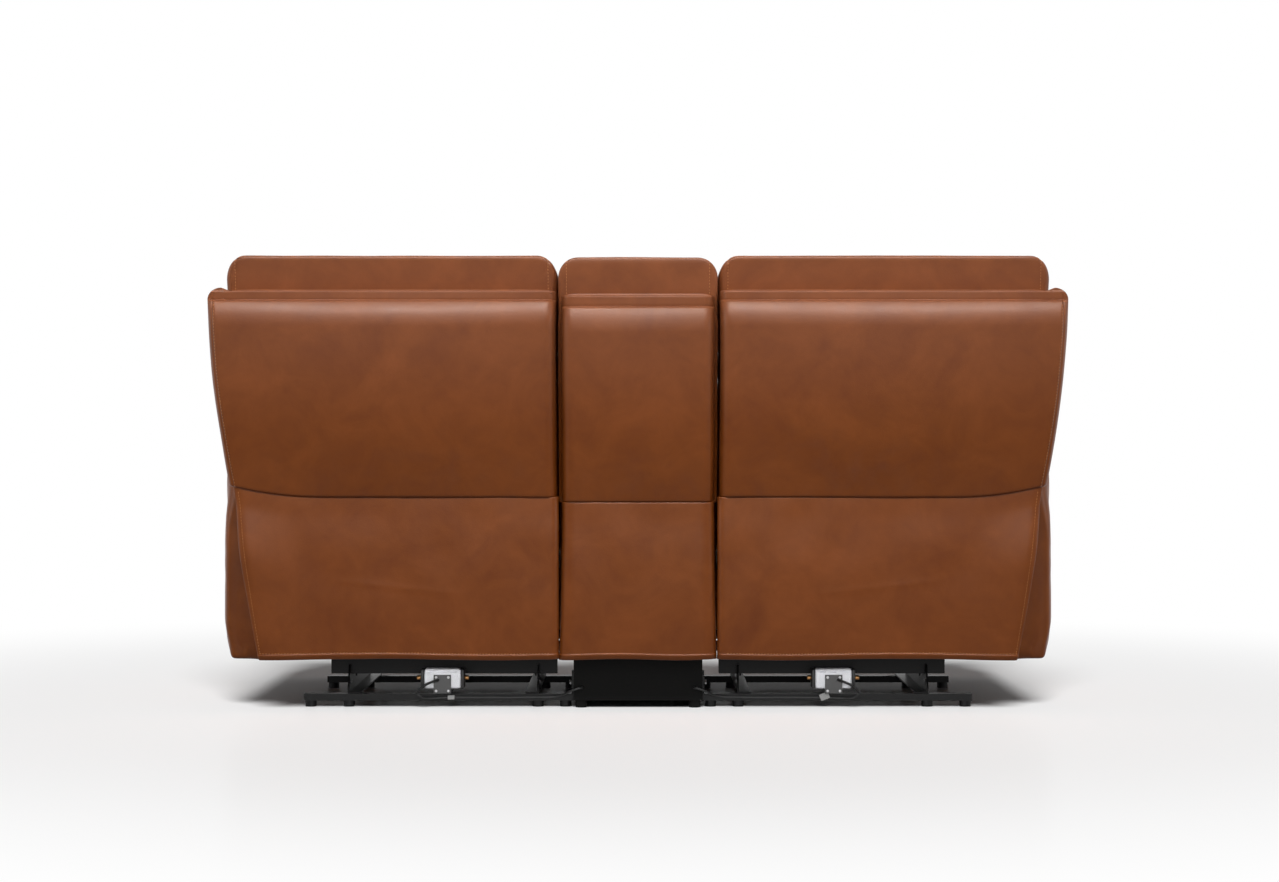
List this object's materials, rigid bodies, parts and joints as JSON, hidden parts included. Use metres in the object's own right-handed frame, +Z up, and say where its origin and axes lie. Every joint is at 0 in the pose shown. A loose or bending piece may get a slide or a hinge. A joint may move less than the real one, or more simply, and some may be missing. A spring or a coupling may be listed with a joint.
{
  "type": "reclining loveseat with console",
  "caption": "Power reclining loveseat in tan leather with opening footrests, tilting headrests and a lidded storage console with cup holders, on a black steel floor frame.",
  "frame": {"origin": "centre of the footprint on the floor", "axes": "+Z up, +X to the sitter's left, -Y the way the seats face"},
  "size_m": [1.9712, 0.9974, 1.058],
  "materials": {
    "tan_leather": "semi-gloss pigmented leather",
    "black_steel": "satin black coating",
    "black_plastic": "matte",
    "motor_housing": "light grey moulded",
    "plywood": "raw",
    "black_plinth": "painted flat black",
    "brushed_steel": "brushed",
    "cable_sheath": "smooth"
  },
  "bodies": {
    "base": {"left_rear_foot_rail": "black_steel", "left_front_foot_rail": "black_steel", "left_base_frame": "black_steel", "left_drive_motor": "motor_housing", "left_gearbox": "black_plastic", "left_drive_rail": "black_steel", "left_motor_lead": "cable_sheath", "left_arm": "tan_leather", "left_control_plate": "black_plastic", "right_rear_foot_rail": "black_steel", "right_front_foot_rail": "black_steel", "right_base_frame": "black_steel", "right_drive_motor": "motor_housing", "right_gearbox": "black_plastic", "right_drive_rail": "black_steel", "right_motor_lead": "cable_sheath", "right_arm": "tan_leather", "right_control_plate": "black_plastic", "console_base": "black_plinth", "console_body": "tan_leather", "left_cup_holder": "brushed_steel", "right_cup_holder": "brushed_steel", "console_outside_back": "tan_leather", "console_back_cushion": "tan_leather", "console_skirt": "tan_leather"},
    "left_open_button": {"left_open_button": "brushed_steel"},
    "left_close_button": {"left_close_button": "brushed_steel"},
    "left_drive_slider": {"left_drive_slider": "black_steel"},
    "left_rear_swing": {"left_rear_swing_links": "black_steel"},
    "left_front_swing": {"left_front_swing_links": "black_steel"},
    "left_seat": {"left_seat_frame": "black_steel", "left_seat_cushion": "tan_leather", "left_back_skirt": "tan_leather"},
    "left_back": {"left_back_frame": "black_steel", "left_back_cushion": "tan_leather", "left_outside_back": "tan_leather"},
    "left_head": {"left_headrest": "tan_leather", "left_headrest_bracket": "black_steel"},
    "left_rear_leg": {"left_rear_legrest_links": "black_steel"},
    "left_front_leg": {"left_front_legrest_links": "black_steel"},
    "left_foot": {"left_footrest_board": "plywood", "left_footrest_pad": "tan_leather"},
    "right_open_button": {"right_open_button": "brushed_steel"},
    "right_close_button": {"right_close_button": "brushed_steel"},
    "right_drive_slider": {"right_drive_slider": "black_steel"},
    "right_rear_swing": {"right_rear_swing_links": "black_steel"},
    "right_front_swing": {"right_front_swing_links": "black_steel"},
    "right_seat": {"right_seat_frame": "black_steel", "right_seat_cushion": "tan_leather", "right_back_skirt": "tan_leather"},
    "right_back": {"right_back_frame": "black_steel", "right_back_cushion": "tan_leather", "right_outside_back": "tan_leather"},
    "right_head": {"right_headrest": "tan_leather", "right_headrest_bracket": "black_steel"},
    "right_rear_leg": {"right_rear_legrest_links": "black_steel"},
    "right_front_leg": {"right_front_legrest_links": "black_steel"},
    "right_foot": {"right_footrest_board": "plywood", "right_footrest_pad": "tan_leather"},
    "console_lid": {"console_lid": "tan_leather"}
  },
  "joints": [
    {"name": "left_recline", "type": "hinge", "parent": "left_seat", "child": "left_back", "pos_m": [0.462, 0.3, 0.335], "axis": [-1, 0, 0], "range_deg": [0, 35], "deforming": ["left_back_skirt"]},
    {"name": "left_front_swing_turn", "type": "hinge", "parent": "base", "child": "left_front_swing", "pos_m": [0.462, -0.1, 0.075], "axis": [1, 0, 0], "range_deg": [0, 24]},
    {"name": "left_rear_swing_turn", "type": "hinge", "parent": "base", "child": "left_rear_swing", "pos_m": [0.462, 0.16, 0.075], "axis": [1, 0, 0], "range_deg": [0, 24]},
    {"name": "left_seat_turn", "type": "hinge", "parent": "left_front_swing", "child": "left_seat", "pos_m": [0.462, -0.07505, 0.19238], "axis": [-1, 0, 0], "range_deg": [0, 24]},
    {"name": "left_rear_leg_turn", "type": "hinge", "parent": "left_seat", "child": "left_rear_leg", "pos_m": [0.462, -0.3, 0.305], "axis": [-1, 0, 0], "range_deg": [0, 71.9]},
    {"name": "left_front_leg_turn", "type": "hinge", "parent": "left_rear_leg", "child": "left_front_leg", "pos_m": [0.462, -0.32347, 0.05108], "axis": [1, 0, 0], "range_deg": [0, 108.67]},
    {"name": "left_footrest_turn", "type": "hinge", "parent": "left_front_leg", "child": "left_foot", "pos_m": [0.462, -0.425, 0.285], "axis": [-1, 0, 0], "range_deg": [0, 126.77]},
    {"name": "left_headrest_tilt", "type": "hinge", "parent": "left_back", "child": "left_head", "pos_m": [0.462, 0.33192, 0.881], "axis": [1, 0, 0], "range_deg": [0, 25]},
    {"name": "left_drive_slide", "type": "slide", "parent": "base", "child": "left_drive_slider", "axis": [0, -1, 0], "range_m": [0, 0.16]},
    {"name": "left_open_press", "type": "slide", "parent": "base", "child": "left_open_button", "axis": [1, 0, 0], "range_m": [0, 0.002], "stiffness_N_per_m": 800},
    {"name": "left_close_press", "type": "slide", "parent": "base", "child": "left_close_button", "axis": [1, 0, 0], "range_m": [0, 0.002], "stiffness_N_per_m": 800},
    {"name": "right_recline", "type": "hinge", "parent": "right_seat", "child": "right_back", "pos_m": [-0.462, 0.3, 0.335], "axis": [-1, 0, 0], "range_deg": [0, 35], "deforming": ["right_back_skirt"]},
    {"name": "right_front_swing_turn", "type": "hinge", "parent": "base", "child": "right_front_swing", "pos_m": [-0.462, -0.1, 0.075], "axis": [1, 0, 0], "range_deg": [0, 24]},
    {"name": "right_rear_swing_turn", "type": "hinge", "parent": "base", "child": "right_rear_swing", "pos_m": [-0.462, 0.16, 0.075], "axis": [1, 0, 0], "range_deg": [0, 24]},
    {"name": "right_seat_turn", "type": "hinge", "parent": "right_front_swing", "child": "right_seat", "pos_m": [-0.462, -0.07505, 0.19238], "axis": [-1, 0, 0], "range_deg": [0, 24]},
    {"name": "right_rear_leg_turn", "type": "hinge", "parent": "right_seat", "child": "right_rear_leg", "pos_m": [-0.462, -0.3, 0.305], "axis": [-1, 0, 0], "range_deg": [0, 71.9]},
    {"name": "right_front_leg_turn", "type": "hinge", "parent": "right_rear_leg", "child": "right_front_leg", "pos_m": [-0.462, -0.32347, 0.05108], "axis": [1, 0, 0], "range_deg": [0, 108.67]},
    {"name": "right_footrest_turn", "type": "hinge", "parent": "right_front_leg", "child": "right_foot", "pos_m": [-0.462, -0.425, 0.285], "axis": [-1, 0, 0], "range_deg": [0, 126.77]},
    {"name": "right_headrest_tilt", "type": "hinge", "parent": "right_back", "child": "right_head", "pos_m": [-0.462, 0.33192, 0.881], "axis": [1, 0, 0], "range_deg": [0, 25]},
    {"name": "right_drive_slide", "type": "slide", "parent": "base", "child": "right_drive_slider", "axis": [0, -1, 0], "range_m": [0, 0.16]},
    {"name": "right_open_press", "type": "slide", "parent": "base", "child": "right_open_button", "axis": [-1, 0, 0], "range_m": [0, 0.002], "stiffness_N_per_m": 800},
    {"name": "right_close_press", "type": "slide", "parent": "base", "child": "right_close_button", "axis": [-1, 0, 0], "range_m": [0, 0.002], "stiffness_N_per_m": 800},
    {"name": "console_lid_hinge", "type": "hinge", "parent": "base", "child": "console_lid", "pos_m": [0, 0.155, 0.604], "axis": [-1, 0, 0], "range_deg": [0, 75]}
  ],
  "couplings": [
    {"joint": "left_front_swing_turn", "follows": "left_recline", "ratio": 0.68571},
    {"joint": "left_rear_swing_turn", "follows": "left_recline", "ratio": 0.68571},
    {"joint": "left_seat_turn", "follows": "left_recline", "ratio": 0.68571},
    {"joint": "left_rear_leg_turn", "follows": "left_recline", "ratio": 2.0542},
    {"joint": "left_front_leg_turn", "follows": "left_recline", "ratio": 3.1048},
    {"joint": "left_footrest_turn", "follows": "left_recline", "ratio": 3.6221},
    {"joint": "left_drive_slide", "follows": "left_recline", "m_per_rad": 0.26192},
    {"joint": "right_front_swing_turn", "follows": "right_recline", "ratio": 0.68571},
    {"joint": "right_rear_swing_turn", "follows": "right_recline", "ratio": 0.68571},
    {"joint": "right_seat_turn", "follows": "right_recline", "ratio": 0.68571},
    {"joint": "right_rear_leg_turn", "follows": "right_recline", "ratio": 2.0542},
    {"joint": "right_front_leg_turn", "follows": "right_recline", "ratio": 3.1048},
    {"joint": "right_footrest_turn", "follows": "right_recline", "ratio": 3.6221},
    {"joint": "right_drive_slide", "follows": "right_recline", "m_per_rad": 0.26192}
  ]
}
